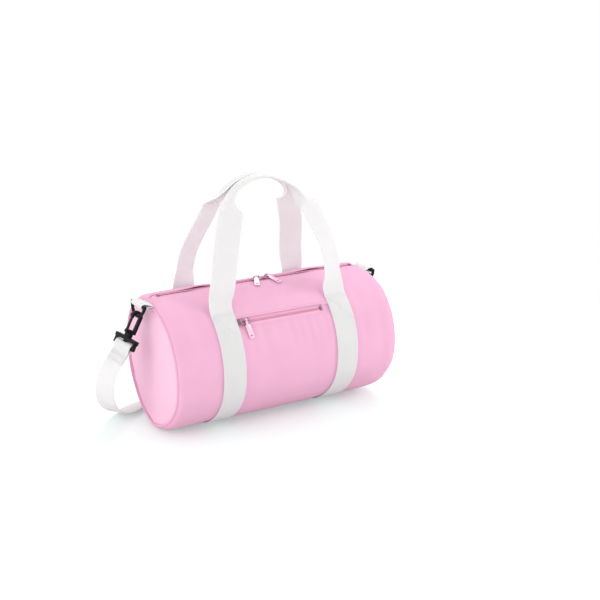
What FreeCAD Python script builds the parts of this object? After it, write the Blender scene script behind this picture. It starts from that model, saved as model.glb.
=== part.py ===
# A barrel bag: zipped cloth barrel with a front pocket, webbing bands and handles, and a clip-on shoulder strap.
# Millimetres. +X runs along the barrel to the right, -Y is the front, +Z is up.
# The origin is on the floor, under the middle of the barrel.
import FreeCAD, Part
import math
import os

V = FreeCAD.Vector
X_AXIS, Y_AXIS, Z_AXIS = V(1, 0, 0), V(0, 1, 0), V(0, 0, 1)

# Barrel
body_radius = 101.0       # outer face of the cloth
body_length = 352.0       # end seam to end seam
shoulder_length = 14.0    # rounding between the barrel and each end seam, along X
shoulder_drop = 13.0      # the same rounding, across X
base_flat = 4.0           # how far the bottom is flattened
end_dome = 4.5            # swell of an end panel
cloth = 1.2
piping_radius = 2.2
binding_width = 8.0
fit = 0.3                 # gap between sewn pieces
touch = 0.05              # gap between layers that lie on each other
run = 0.35                # gap between pieces that slide or turn
beyond = 1.0              # how far a cut runs past what it cuts

# Webbing bands and handles
webbing_width = 35.0
webbing = 1.6
band_x = 93.0             # middle of each band
band_end_angle = 54.5     # where a band's sewing ends, in degrees above the barrel's axis
fold_start = 128.0        # height above the hinge where the handle starts to fold lengthwise
fold_end = 150.0
fold_angle = 82.0         # each half's turn in the folded grip
fold_flat = 0.4           # half the flat left on the fold's outer edge
grip_gap = 1.28           # from a grip's folded edge to the bag's middle plane
handle_step = 9.0

# Zips, all sizes measured across or outwards from the barrel's axis
main_slot_half_width = 7.0
main_slot_margin = 13.0   # end seam to the end of the slot
main_chain_inset = 4.0    # end of the slot to the end of the coils
main_tape_width = 14.0
pocket_angle = 41.4       # middle of the pocket zip, in degrees above the barrel's axis
pocket_slot_half_width = 5.5
pocket_slot_short = 11.0  # how far the slot stops short of the right band
pocket_chain_insets = (3.5, 4.5)
pocket_tape_width = 11.0
pocket_seam_angle = -80.0 # where the pocket's front is sewn in under the barrel
tape = 1.0
coil_height = 1.7
coil_width = 2.1
coil_gap = 1.5            # between the two coils, where a slider's post runs
stop_length = 2.8
stop_height = 0.5         # how far a stop stands above the coil

# Sliders and pulls
slider_length = 15.0
slider_width = 9.5
slider_plate = 1.2
slider_corner = 2.4
slider_flange = 0.9
post_width = 0.8
post_length = 4.0
bail_radius = 0.7
bail_half_length = 4.2
eye_radius = 2.3
eye_bore = 1.6
eye_length = 2.2
pull_length = 27.0
pull_neck = 3.6
pull_neck_length = 6.5    # bail's middle to the wide part of the pull
pull_width = 7.4
pull_corner = 1.4
pull_plate = 1.4
pull_slot = (4.6, 2.4)    # across and along the pull
pull_slot_from_end = 4.2
pull_tilt = 14.0
main_slider_left_x = -3.0
main_slider_gap = 3.0     # between the two sliders
main_pull_yaw = (-25.0, 18.0)
pocket_slider_gap = 1.0   # between the slider and the left stop
pocket_pull_yaw = 8.0

# Pocket lining
pocket_depth = 11.0
lining = 0.8
lining_angles = (-25.0, 50.0)
lining_margin = 2.0       # how far the lining reaches under each band

# End tabs and D-rings
tab_inner = 6.5           # inner end of a tab, in from the end seam
tab_lift = 3.0            # where a tab leaves the barrel, in from the end seam
ring_out = 14.0           # ring's bar, out from the end seam
ring_drop = 8.6           # ring's bar below the top of the barrel
ring_bar_radius = 2.4
ring_radius = 2.3
ring_shallow = 0.7        # how much less than half the webbing's width the ring is deep
ring_side_gap = 2.2
ring_lean = 11.0          # outward lean of the hanging ring, in degrees

# Snap hooks, each along its own axis v with u across it, away from the bag
hook_lean = 28.0
hook_thickness = 6.0
crook_bore = 4.5
crook_radius = 8.6
crook_room = 0.65         # clear space between the ring's bow and the top of the crook's bore
nose_length = 3.0
nose_tip = 7.3
spine_length = 22.0
neck_block = (20.0, 25.0)
neck_half_width = 7.6
collar_radius = 6.0
collar_end = 30.0
shank_radius = 2.6
cap_radius = 4.2
cap_thickness = 2.0
gate_thickness = 1.8
gate_middle = 5.9
gate_half_width = 2.7
gate_pivot_v = 20.9
gate_pivot_radius = 1.2
gate_swing_room = 2.1     # open space beside the gate's middle, above its pivot
bridge_thickness = 5.2
bridge_half_depth = 4.0
arm_width = 4.4
arm_half_depth = 2.5
strap_bar_v = 43.0
strap_bar_radius = 2.2
base_turn = 14.0          # how far a hook's base is turned on the shank, in degrees

# Shoulder strap: points of the left half, each with the direction across the webbing; the right half mirrors it
loop_lean = 40.0
loop_length = 14.0
strap_half_route = [
    ((-223.3, -0.7, 124.1), (-0.21, 0.97, 0.11)),
    ((-233.3, -1.5, 112.0), (-0.21, 0.97, 0.11)),
    ((-242.6, 3.2, 90.0), (-0.16, 0.95, 0.25)),
    ((-239.8, 19.7, 53.5), (-0.38, 0.87, 0.33)),
    ((-223.0, 41.3, 25.1), (-0.59, 0.76, 0.28)),
    ((-194.8, 64.8, 5.6), (-0.55, 0.82, -0.13)),
    ((-166.5, 82.1, 5.0), (-0.39, 0.91, -0.16)),
    ((-130.0, 93.0, 0.9), (0.0, 1.0, 0.0)),
    ((-50.0, 92.0, 0.9), (0.0, 1.0, 0.0)),
]
arc_share = 0.45          # part of the shorter run that a bend takes up
arc_steps = 5
adjuster_x = 40.0
adjuster_y = 92.0
adjuster_length = 26.0
adjuster_bar = 3.6
adjuster_thickness = 4.0
adjuster_side = 4.0

# Places that follow from those sizes
axis_z = body_radius - base_flat + webbing
half_length = body_length / 2
shoulder_radius = (shoulder_length**2 + shoulder_drop**2) / (2 * shoulder_drop)
seam_radius = body_radius - shoulder_radius
tape_outer = body_radius - cloth - touch
tape_inner = tape_outer - tape
coil_inner = tape_outer + touch
coil_outer = coil_inner + coil_height
slider_top = coil_outer + run + slider_plate
bail_z = slider_top + eye_radius + run
pocket_turn = 90.0 - pocket_angle
webbing_half = webbing_width / 2
main_slot_half_length = half_length - main_slot_margin
main_chain_half_length = main_slot_half_length - main_chain_inset
main_slider_x = (main_slider_left_x, main_slider_left_x + slider_length + main_slider_gap)
between_bands = band_x - webbing_half
pocket_slot_ends = (-between_bands, between_bands - pocket_slot_short)
pocket_chain_ends = (pocket_slot_ends[0] + pocket_chain_insets[0], pocket_slot_ends[1] - pocket_chain_insets[1])
pocket_slider_x = pocket_chain_ends[0] + pocket_slider_gap + slider_length / 2
lining_half_length = between_bands + lining_margin
tab_inner_x = half_length - tab_inner
tab_lift_x = half_length - tab_lift
ring_x = half_length + ring_out
ring_depth = webbing_half - ring_shallow


def export(name, shape):
    shape.exportStep("parts/" + name + ".step")
    print(name, len(shape.Solids), "solid", round(shape.Volume, 1), "mm3", shape.isValid())


def mirrored(shape):
    return shape.mirror(V(0, 0, 0), X_AXIS)


def box(low, high):
    return Part.makeBox(high[0] - low[0], high[1] - low[1], high[2] - low[2], V(*low))


def drum(radius, x0, x1):
    """Solid cylinder on the barrel's axis."""
    return Part.makeCylinder(radius, x1 - x0, V(x0, 0, axis_z), X_AXIS)


def sector(radius, x0, x1, angle0, angle1):
    """Wedge from the barrel's axis, between two angles above the front horizon."""
    facets = 4
    step = math.radians(angle1 - angle0) / facets
    reach = radius / math.cos(step / 2)
    outline = [V(x0, 0, axis_z)]
    for i in range(facets + 1):
        turn = math.radians(angle0) + step * i
        outline.append(V(x0, -reach * math.cos(turn), axis_z + reach * math.sin(turn)))
    face = Part.Face(Part.makePolygon(outline + outline[:1]))
    return face.extrude(V(x1 - x0, 0, 0))


def to_pocket(shape):
    """Swing a piece built on top of the barrel forwards to the pocket zip."""
    turned = shape.copy()
    turned.rotate(V(0, 0, axis_z), X_AXIS, pocket_turn)
    return turned


def rounded_plate(length, width, corner, z0, z1):
    """Flat plate with round corners, centred on the Z axis."""
    a, b, c = length / 2, width / 2, corner
    k = c * (1 - math.sqrt(0.5))
    arcs = [
        ((a - c, -b), (a - k, -b + k), (a, -b + c)),
        ((a, b - c), (a - k, b - k), (a - c, b)),
        ((-a + c, b), (-a + k, b - k), (-a, b - c)),
        ((-a, -b + c), (-a + k, -b + k), (-a + c, -b)),
    ]
    edges = []
    for i, (start, middle, end) in enumerate(arcs):
        edges.append(Part.Arc(V(*start, z0), V(*middle, z0), V(*end, z0)).toShape())
        following = arcs[(i + 1) % 4][0]
        if (V(*end, z0) - V(*following, z0)).Length > 1e-6:
            edges.append(Part.makeLine(V(*end, z0), V(*following, z0)))
    return Part.Face(Part.Wire(edges)).extrude(V(0, 0, z1 - z0))


# Barrel cloth

def barrel(inset):
    """The filled barrel, its faces this far inside the cloth's outer face."""
    arc_radius = shoulder_radius - inset
    straight = half_length - shoulder_length
    reach = min(half_length, straight + arc_radius)
    turn = math.asin((reach - straight) / arc_radius)

    def on_shoulder(side, angle):
        x = side * (straight + arc_radius * math.sin(angle))
        return V(x, 0, axis_z + seam_radius + arc_radius * math.cos(angle))

    left = [on_shoulder(-1, turn), on_shoulder(-1, turn / 2), on_shoulder(-1, 0)]
    right = [on_shoulder(1, 0), on_shoulder(1, turn / 2), on_shoulder(1, turn)]
    foot_left = V(left[0].x, 0, axis_z)
    foot_right = V(right[2].x, 0, axis_z)
    outline = Part.Wire([
        Part.makeLine(foot_left, left[0]),
        Part.Arc(*left).toShape(),
        Part.makeLine(left[2], right[0]),
        Part.Arc(*right).toShape(),
        Part.makeLine(right[2], foot_right),
        Part.makeLine(foot_right, foot_left),
    ])
    round_body = Part.Face(outline).revolve(V(0, 0, axis_z), X_AXIS, 360)
    reach = body_radius + body_length
    above = box((-reach, -reach, webbing + inset), (reach, reach, reach))
    return round_body.common(above)


def slot(x0, x1, half_width):
    return box((x0, -half_width, axis_z), (x1, half_width, axis_z + body_radius + cloth))


def pocket_front(margin):
    """Wedge that holds the pocket's front, between the middles of the two bands and below the pocket zip."""
    lip = pocket_angle - math.degrees(math.asin(pocket_slot_half_width / body_radius))
    spread = math.degrees(margin / body_radius)
    reach = band_x + margin
    return sector(2 * body_radius, -reach, reach, pocket_seam_angle - spread, lip + spread)


shell = barrel(0).cut(barrel(cloth)).cut(drum(seam_radius + fit, -body_length, body_length))
shell = shell.cut(slot(-main_slot_half_length, main_slot_half_length, main_slot_half_width))
shell = shell.cut(to_pocket(slot(*pocket_slot_ends, pocket_slot_half_width)))
main_panel = shell.cut(pocket_front(fit))
pocket_panel = shell.common(pocket_front(0))


def revolved(points_and_arcs):
    return Part.Face(Part.Wire(points_and_arcs)).revolve(V(0, 0, axis_z), X_AXIS, 360)


def end_panel():
    edge = seam_radius - fit
    rim = -half_length + 2 * fit
    ball_radius = (edge**2 + end_dome**2) / (2 * end_dome)
    ball = Part.makeSphere(ball_radius, V(rim - end_dome + ball_radius, 0, axis_z))
    hollow = Part.makeSphere(ball_radius, V(rim - end_dome + ball_radius + cloth, 0, axis_z))
    return ball.cut(hollow).common(drum(edge, rim - 2 * end_dome, rim + cloth))


def end_piping():
    x = -half_length - touch
    middle = axis_z + seam_radius + cloth / 2
    low, high = V(x, 0, middle - piping_radius), V(x, 0, middle + piping_radius)
    return revolved([
        Part.Arc(low, V(x - piping_radius, 0, middle), high).toShape(),
        Part.makeLine(high, low),
    ])


def seam_binding():
    x = -half_length + 2 * fit + cloth + fit
    outer = seam_radius - fit
    ring = drum(outer, x, x + binding_width)
    return ring.cut(drum(outer - cloth, x - cloth, x + binding_width + cloth))


# Zips, built on top of the barrel

def ring_strip(inner, outer, x0, x1, y0, y1):
    """Part of a thin drum, cut to a strip at the top of the barrel."""
    wall = drum(outer, x0, x1).cut(drum(inner, x0 - beyond, x1 + beyond))
    return wall.common(box((x0, y0, axis_z), (x1, y1, axis_z + outer + beyond)))


def zip_tape(x0, x1, width, side):
    edges = sorted((side * coil_gap / 2, side * (coil_gap / 2 + width)))
    return ring_strip(tape_inner, tape_outer, x0, x1, *edges)


def zip_coil(x0, x1, side):
    edges = sorted((side * coil_gap / 2, side * (coil_gap / 2 + coil_width)))
    return ring_strip(coil_inner, coil_outer, x0, x1, *edges)


def zip_stops(x0, x1):
    reach = coil_gap / 2 + coil_width + stop_height
    stops = []
    for x in (x0 - touch - stop_length, x1 + touch):
        stops.append(ring_strip(coil_inner, coil_outer + stop_height, x, x + stop_length, -reach, reach))
    return Part.makeCompound(stops)


def slider(x, mouth):
    """Slider round the chain at x; mouth is the side, -1 or 1, where the chain parts."""
    half_width = slider_width / 2
    below_tape = math.sqrt(tape_inner**2 - half_width**2) - run
    plate_bottom = slider_top - slider_plate
    body = rounded_plate(slider_length, slider_width, slider_corner, slider_top - slider_plate, slider_top)
    body = body.fuse(rounded_plate(
        slider_length, slider_width, slider_corner, below_tape - slider_plate, below_tape))
    flange_half = slider_length / 2 - slider_corner
    for side in (-1, 1):
        edges = sorted((side * (half_width - slider_flange), side * half_width))
        flange = box((-flange_half, edges[0], tape_outer + run), (flange_half, edges[1], plate_bottom))
        body = body.fuse(flange)
    ends = sorted((mouth * slider_length / 2, mouth * (slider_length / 2 - post_length)))
    body = body.fuse(box((ends[0], -post_width / 2, below_tape), (ends[1], post_width / 2, plate_bottom)))
    bar = Part.makeCylinder(bail_radius, 2 * bail_half_length, V(-bail_half_length, 0, bail_z), X_AXIS)
    body = body.fuse(bar)
    for end in (-bail_half_length, bail_half_length):
        body = body.fuse(Part.makeCylinder(bail_radius, bail_z - slider_top, V(end, 0, slider_top), Z_AXIS))
        body = body.fuse(Part.makeSphere(bail_radius, V(end, 0, bail_z)))
    body.translate(V(x, 0, axis_z))
    return body.removeSplitter()


def pull(x, yaw):
    """Pull on the bail of the slider at x, laid forwards, with its loose eye turned by yaw."""
    half = pull_plate / 2
    neck = eye_bore + (eye_radius - eye_bore) / 2
    blade = rounded_plate(pull_width, pull_length - pull_neck_length, pull_corner, -half, half)
    blade.translate(V(0, -(pull_length + pull_neck_length) / 2, 0))
    blade = blade.fuse(box((-pull_neck / 2, -pull_neck_length - beyond, -half), (pull_neck / 2, -neck, half)))
    hole = rounded_plate(*pull_slot, pull_slot[1] / 2 - touch, -pull_plate, pull_plate)
    hole.translate(V(0, -pull_length + pull_slot_from_end, 0))
    eye = Part.makeCylinder(eye_radius, eye_length, V(-eye_length / 2, 0, 0), X_AXIS)
    bore = Part.makeCylinder(eye_bore, 2 * pull_neck, V(-pull_neck, 0, 0), X_AXIS)
    piece = blade.cut(hole).fuse(eye).cut(bore)
    piece.rotate(V(0, 0, 0), Z_AXIS, yaw)
    piece.rotate(V(0, 0, 0), X_AXIS, pull_tilt)
    piece.translate(V(x, 0, axis_z + bail_z))
    return piece.removeSplitter()


# Pocket lining: a curved tray behind the pocket zip, open towards the main panel

def pocket_lining():
    wall_outer = body_radius - cloth - fit
    floor_radius = body_radius - cloth - pocket_depth
    margin = math.degrees(lining / floor_radius)
    low, high = lining_angles
    block = drum(wall_outer, -lining_half_length, lining_half_length)
    block = block.cut(drum(floor_radius, -lining_half_length - beyond, lining_half_length + beyond))
    block = block.common(sector(2 * body_radius, -lining_half_length, lining_half_length, low, high))
    inside = lining_half_length - lining
    space = drum(body_radius, -inside, inside)
    space = space.cut(drum(floor_radius + lining, -inside - beyond, inside + beyond))
    space = space.common(sector(2 * body_radius, -inside, inside, low + margin, high - margin))
    return block.cut(space)


# Webbing bands and handles

def band(x):
    x0, x1 = x - webbing_half, x + webbing_half
    reach = 2 * body_radius
    outer = drum(body_radius + webbing, x0, x1).common(box((x0, -reach, 0), (x1, reach, 2 * reach)))
    inner = drum(body_radius + touch, x0 - beyond, x1 + beyond)
    inner = inner.common(box((x0 - beyond, -reach, webbing - touch), (x1 + beyond, reach, 2 * reach)))
    top = sector(reach, x0 - beyond, x1 + beyond, band_end_angle, 180 - band_end_angle)
    return outer.cut(inner).cut(top)


hinge_turn = math.radians(band_end_angle)
hinge_y = -(body_radius + webbing) * math.cos(hinge_turn)
hinge_z = axis_z + (body_radius + webbing) * math.sin(hinge_turn)

# The handle's right half above its hinge: inwards from the band's middle, towards the back, and up
handle_half_line = [
    (0.0, 0.0, 0.2), (2.0, -1.0, 25.0), (6.0, 1.5, 58.0), (17.0, 16.0, 98.0), (24.0, 23.5, 118.0),
    (32.0, 29.5, 138.0), (46.0, 34.0, 155.0), (68.0, 37.0, 167.0), (band_x, 38.5, 172.5),
]


def handle_section(centre, along, fold):
    """Outline across the webbing, its two halves folded up by this angle towards the back."""
    inwards = (Y_AXIS - along * Y_AXIS.dot(along)).normalize()
    across = along.cross(inwards)
    turn = math.radians(fold)
    half = webbing / 2
    points = []
    arms = []
    for side in (-1, 1):
        arm = across * (side * math.cos(turn)) + inwards * math.sin(turn)
        out = across * (side * math.sin(turn)) - inwards * math.cos(turn)
        arms.append((arm, out))
    (left, left_out), (right, right_out) = arms
    points.append(centre + left * webbing_half + left_out * half)
    points.append(centre + left * fold_flat + left_out * half)
    points.append(centre + right * fold_flat + right_out * half)
    points.append(centre + right * webbing_half + right_out * half)
    points.append(centre + right * webbing_half - right_out * half)
    points.append(centre + inwards * (half / math.cos(turn)))
    points.append(centre + left * webbing_half - left_out * half)
    return Part.makePolygon(points + points[:1])


def handle_front():
    base_y = hinge_y + webbing / 2
    back_share = (-base_y - webbing_half - grip_gap) / handle_half_line[-1][1]
    right = [V(band_x - i, base_y + b * back_share, hinge_z + u) for i, b, u in handle_half_line]
    left = [V(-p.x, p.y, p.z) for p in right[:-1]]
    curve = Part.BSplineCurve()
    curve.interpolate(Points=left + right[::-1], InitialTangent=Z_AXIS, FinalTangent=-Z_AXIS)
    count = max(2, round(curve.length() / handle_step))
    sections = []
    for i in range(count + 1):
        where = curve.FirstParameter + (curve.LastParameter - curve.FirstParameter) * i / count
        centre = curve.value(where)
        along = curve.tangent(where)[0]
        rise = (centre.z - hinge_z - fold_start) / (fold_end - fold_start)
        rise = min(1.0, max(0.0, rise))
        sections.append(handle_section(centre, along, fold_angle * rise * rise * (3 - 2 * rise)))
    return Part.makeLoft(sections, True, True)


# End tabs and D-rings

ring_z = axis_z + body_radius - ring_drop
tab_thickness = 2 * webbing


def curved_tab_section(x):
    over = abs(x) - half_length + shoulder_length
    low = seam_radius + math.sqrt(shoulder_radius**2 - over**2) + 3 * touch
    high = low + tab_thickness

    def point(radius, y):
        return V(x, y, axis_z + math.sqrt(radius**2 - y**2))

    w = webbing_half
    return Part.Wire([
        Part.Arc(point(low, -w), point(low, 0), point(low, w)).toShape(),
        Part.makeLine(point(low, w), point(high, w)),
        Part.Arc(point(high, w), point(high, 0), point(high, -w)).toShape(),
        Part.makeLine(point(high, -w), point(low, -w)),
    ])


def flat_tab_section(x, middle_z):
    w, h = webbing_half, tab_thickness / 2
    corners = [V(x, -w, middle_z - h), V(x, w, middle_z - h), V(x, w, middle_z + h), V(x, -w, middle_z + h)]
    return Part.makePolygon(corners + corners[:1])


def end_tab():
    bore = ring_bar_radius + fit
    outer = bore + webbing
    places = (-tab_inner_x, -(tab_inner_x + tab_lift_x) / 2, -tab_lift_x)
    sewn = Part.makeLoft([curved_tab_section(x) for x in places], True, True)
    bridge = Part.makeLoft(
        [curved_tab_section(-tab_lift_x), flat_tab_section(-ring_x + bore, ring_z)], True, True)
    loop = Part.makeCylinder(outer, webbing_width, V(-ring_x, -webbing_half, ring_z), Y_AXIS)
    hole = Part.makeCylinder(bore, 2 * webbing_width, V(-ring_x, -webbing_width, ring_z), Y_AXIS)
    return sewn.fuse(bridge).fuse(loop).cut(hole).removeSplitter()


def leaned(shape, angle):
    """Swing a left-hand piece, built hanging straight down at the origin, outwards about Y."""
    turned = shape.copy()
    turned.rotate(V(0, 0, 0), Y_AXIS, angle)
    return turned


def hanging(angle, length):
    turn = math.radians(angle)
    return V(-math.sin(turn), 0, -math.cos(turn)) * length


ring_half = webbing_half + ring_side_gap + ring_radius


def d_ring():
    bow = (ring_half**2 + ring_depth**2) / (2 * ring_depth)
    centre = V(0, 0, -ring_depth + bow)
    torus = Part.makeTorus(bow, ring_radius, centre, X_AXIS)
    below = box((-bow, -2 * bow, -2 * bow), (bow, 2 * bow, 0))
    ring = torus.common(below)
    ring = ring.fuse(Part.makeCylinder(ring_bar_radius, 2 * ring_half, V(0, -ring_half, 0), Y_AXIS))
    for side in (-1, 1):
        ring = ring.fuse(Part.makeSphere(ring_bar_radius, V(0, side * ring_half, 0)))
    ring = leaned(ring, ring_lean)
    ring.translate(V(-ring_x, 0, ring_z))
    return ring.removeSplitter()


# Snap hooks, built hanging down from the crook's centre: u is -X, v is -Z

crook = V(-ring_x, 0, ring_z) + hanging(ring_lean, ring_depth)
crook = crook + hanging(hook_lean, crook_bore - ring_radius - crook_room)
strap_bar = crook + hanging(hook_lean, strap_bar_v)


def hook_point(u, v, y=0.0):
    return V(-u, y, -v)


def leaned_point(u, v):
    """Step from the crook's centre to a point of the leaning hook."""
    return FreeCAD.Rotation(Y_AXIS, hook_lean).multVec(hook_point(u, v))


def hook_block(u0, u1, v0, v1, half_width):
    return box((-u1, -half_width, -v1), (-u0, half_width, -v0))


def hung(shape):
    piece = leaned(shape, hook_lean)
    piece.translate(crook)
    return piece


def post(radius, v0, v1):
    return Part.makeCylinder(radius, v1 - v0, hook_point(0, v1), Z_AXIS)


def gate_pivot(radius, half_width):
    return Part.makeCylinder(radius, 2 * half_width, hook_point(gate_middle, gate_pivot_v, -half_width), Y_AXIS)


def hook_body():
    half = hook_thickness / 2
    a, b = crook_bore, crook_radius
    outline = Part.Wire([
        Part.makeLine(hook_point(-b, spine_length, -half), hook_point(-b, 0, -half)),
        Part.Arc(hook_point(-b, 0, -half), hook_point(0, -b, -half), hook_point(b, 0, -half)).toShape(),
        Part.makeLine(hook_point(b, 0, -half), hook_point(nose_tip, nose_length, -half)),
        Part.makeLine(hook_point(nose_tip, nose_length, -half), hook_point(a, nose_length, -half)),
        Part.makeLine(hook_point(a, nose_length, -half), hook_point(a, 0, -half)),
        Part.Arc(hook_point(a, 0, -half), hook_point(0, -a, -half), hook_point(-a, 0, -half)).toShape(),
        Part.makeLine(hook_point(-a, 0, -half), hook_point(-a, spine_length, -half)),
        Part.makeLine(hook_point(-a, spine_length, -half), hook_point(-b, spine_length, -half)),
    ])
    body = Part.Face(outline).extrude(V(0, hook_thickness, 0))
    body = body.fuse(hook_block(-b, neck_half_width, *neck_block, half))
    body = body.cut(gate_pivot(gate_pivot_radius + run, half + beyond))
    room = (gate_middle - gate_swing_room, neck_half_width + beyond)
    body = body.cut(hook_block(*room, neck_block[0] - beyond, gate_pivot_v, half + beyond))
    body = body.fuse(post(collar_radius, neck_block[1], collar_end))
    cap_start = collar_end + run + bridge_thickness + run
    body = body.fuse(post(shank_radius, collar_end, cap_start))
    body = body.fuse(post(cap_radius, cap_start, cap_start + cap_thickness))
    return hung(body.removeSplitter())


def hook_gate():
    u0, u1 = gate_middle - gate_thickness / 2, gate_middle + gate_thickness / 2
    gate = hook_block(u0, u1, nose_length + run, gate_pivot_v, gate_half_width)
    return hung(gate.fuse(gate_pivot(gate_pivot_radius, gate_half_width)).removeSplitter())


def hook_base():
    start = collar_end + run
    inner = webbing_half + 2 * fit
    outer = inner + arm_width
    bridge = hook_block(-bridge_half_depth, bridge_half_depth, start, start + bridge_thickness, outer)
    base = bridge.cut(post(shank_radius + run, start - beyond, start + bridge_thickness + beyond))
    end = strap_bar_v + strap_bar_radius
    for side in (-1, 1):
        edges = sorted((side * inner, side * outer))
        arm = box((-arm_half_depth, edges[0], -end), (arm_half_depth, edges[1], -start))
        base = base.fuse(arm)
    bar = Part.makeCylinder(strap_bar_radius, 2 * outer, hook_point(0, strap_bar_v, -outer), Y_AXIS)
    base = base.fuse(bar).removeSplitter()
    base.rotate(V(0, 0, 0), Z_AXIS, base_turn)
    return hung(base)


# Shoulder strap

def strap_loop():
    """The strap's sewn end, folded round the left hook's bar."""
    bore = strap_bar_radius + fit
    ring = Part.makeCylinder(bore + webbing, webbing_width, V(0, -webbing_half, 0), Y_AXIS)
    tail = box((-webbing, -webbing_half, -loop_length), (webbing, webbing_half, 0))
    hole = Part.makeCylinder(bore, 2 * webbing_width, V(0, -webbing_width, 0), Y_AXIS)
    loop = leaned(ring.fuse(tail).cut(hole).removeSplitter(), loop_lean)
    loop.rotate(V(0, 0, 0), hanging(hook_lean, -1), base_turn)
    loop.translate(strap_bar)
    return loop


def strap_line():
    """Points and cross directions along the whole strap: straight runs joined by tangent arcs."""
    half = [(V(*p), V(*w)) for p, w in strap_half_route]
    other = [(V(-p.x, p.y, p.z), V(-w.x, w.y, w.z)) for p, w in half]
    route = half + other[::-1]
    line = [route[0]]
    radii = []
    for i in range(1, len(route) - 1):
        before, (corner, across), after = route[i - 1], route[i], route[i + 1]
        come = corner - before[0]
        leave = after[0] - corner
        reach = arc_share * min(come.Length, leave.Length)
        come.normalize()
        leave.normalize()
        turn = come.getAngle(leave)
        radius = reach / math.tan(turn / 2)
        radii.append(round(radius))
        middle = (leave - come).normalize()
        bisector = (come + leave).normalize()
        centre = corner + middle * (radius / math.cos(turn / 2))
        for k in range(arc_steps + 1):
            share = k / arc_steps
            swing = turn * (share - 0.5)
            point = centre - middle * (radius * math.cos(swing)) + bisector * (radius * math.sin(swing))
            blend = before[1] * max(0, 0.5 - share) + across * (1 - abs(0.5 - share))
            blend = blend + after[1] * max(0, share - 0.5)
            line.append((point, blend))
    line.append(route[-1])
    return line, radii


def line_from(line, x):
    """The part of the strap's line to the right of x."""
    first = next(i for i, (point, across) in enumerate(line) if point.x > x)
    (before, across), (after, _) = line[first - 1], line[first]
    share = (x - before.x) / (after.x - before.x)
    return [(before + (after - before) * share, across)] + line[first:]


def ribbon(line, low, high):
    """Webbing along the line, between two heights above its middle face."""
    sections = []
    for i, (point, across) in enumerate(line):
        along = (line[min(i + 1, len(line) - 1)][0] - line[max(i - 1, 0)][0]).normalize()
        side = (across - along * across.dot(along)).normalize()
        up = along.cross(side)
        corners = [
            point - side * webbing_half + up * low,
            point + side * webbing_half + up * low,
            point + side * webbing_half + up * high,
            point - side * webbing_half + up * high,
        ]
        sections.append(Part.makePolygon(corners + corners[:1]))
    return Part.makeLoft(sections, True, True)


def strap_adjuster():
    x0, x1 = adjuster_x - adjuster_length / 2, adjuster_x + adjuster_length / 2
    floor = strap_half_route[-1][0][2] + webbing / 2 + fit
    half = webbing_half + adjuster_side
    frame = rounded_plate(adjuster_length, 2 * half, adjuster_bar, floor, floor + adjuster_thickness)
    frame.translate(V(adjuster_x, adjuster_y, 0))
    gap = (adjuster_length - 3 * adjuster_bar) / 2
    for start in (x0 + adjuster_bar, x1 - adjuster_bar - gap):
        low = (start, adjuster_y - webbing_half - fit, 0)
        high = (start + gap, adjuster_y + webbing_half + fit, floor + 2 * adjuster_thickness)
        frame = frame.cut(box(low, high))
    return frame


# Write the pieces
os.makedirs("parts", exist_ok=True)

export("main_panel", main_panel)
export("pocket_panel", pocket_panel)
for name, piece in (
    ("end_panel", end_panel()),
    ("end_piping", end_piping()),
    ("seam_binding", seam_binding()),
    ("end_tab", end_tab()),
    ("d_ring", d_ring()),
    ("hook_body", hook_body()),
    ("hook_gate", hook_gate()),
    ("hook_base", hook_base()),
    ("strap_loop", strap_loop()),
):
    export(name + "_left", piece)
    export(name + "_right", mirrored(piece))

chain = main_chain_half_length
tape_end = chain + stop_length + 2 * touch
export("main_zip_stops", zip_stops(-chain, chain))
for name, side in (("front", -1), ("rear", 1)):
    export("main_zip_tape_" + name, zip_tape(-tape_end, tape_end, main_tape_width, side))
    export("main_zip_coil_" + name, zip_coil(-chain, chain, side))
for name, x, mouth, yaw in zip(("left", "right"), main_slider_x, (1, -1), main_pull_yaw):
    export("main_slider_" + name, slider(x, mouth))
    export("main_pull_" + name, pull(x, yaw))

pocket_tape_ends = (pocket_chain_ends[0] - stop_length - touch, pocket_chain_ends[1] + stop_length + touch)
export("pocket_zip_stops", to_pocket(zip_stops(*pocket_chain_ends)))
for name, side in (("lower", -1), ("upper", 1)):
    export("pocket_zip_tape_" + name, to_pocket(zip_tape(*pocket_tape_ends, pocket_tape_width, side)))
    export("pocket_zip_coil_" + name, to_pocket(zip_coil(*pocket_chain_ends, side)))
export("pocket_slider", to_pocket(slider(pocket_slider_x, 1)))
export("pocket_pull", to_pocket(pull(pocket_slider_x, pocket_pull_yaw)))
export("pocket_lining", pocket_lining())

front_handle = handle_front()
export("band_left", band(-band_x))
export("band_right", band(band_x))
export("handle_front", front_handle)
export("handle_rear", front_handle.mirror(V(0, 0, 0), Y_AXIS))

line, radii = strap_line()
returning = line_from(line, adjuster_x + adjuster_length / 2 + fit)
length = sum((line[i + 1][0] - line[i][0]).Length for i in range(len(line) - 1))
shoulder_strap = ribbon(line, -webbing / 2, webbing / 2)
export("shoulder_strap", shoulder_strap)
export("strap_return", ribbon(returning, webbing / 2 + fit, webbing / 2 + fit + webbing))
export("strap_adjuster", strap_adjuster())

print("strap bends, radius in mm", radii)
print("strap length", round(length), "volume against section times length",
      round(shoulder_strap.Volume / (length * webbing_width * webbing), 3))
print("barrel axis height", axis_z, "handle hinge y, z", round(hinge_y, 2), round(hinge_z, 2))
print("ring bar", -ring_x, round(ring_z, 2), "crook", crook, "strap bar", strap_bar)
print("bail height above the axis", bail_z)
print("gate pivot", crook + leaned_point(gate_middle, gate_pivot_v))
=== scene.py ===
# A barrel bag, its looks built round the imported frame.
# +X runs along the barrel to the right, -Y is the front, +Z is up.
# Sizes are in millimetres until a mesh is made.
import math

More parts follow.
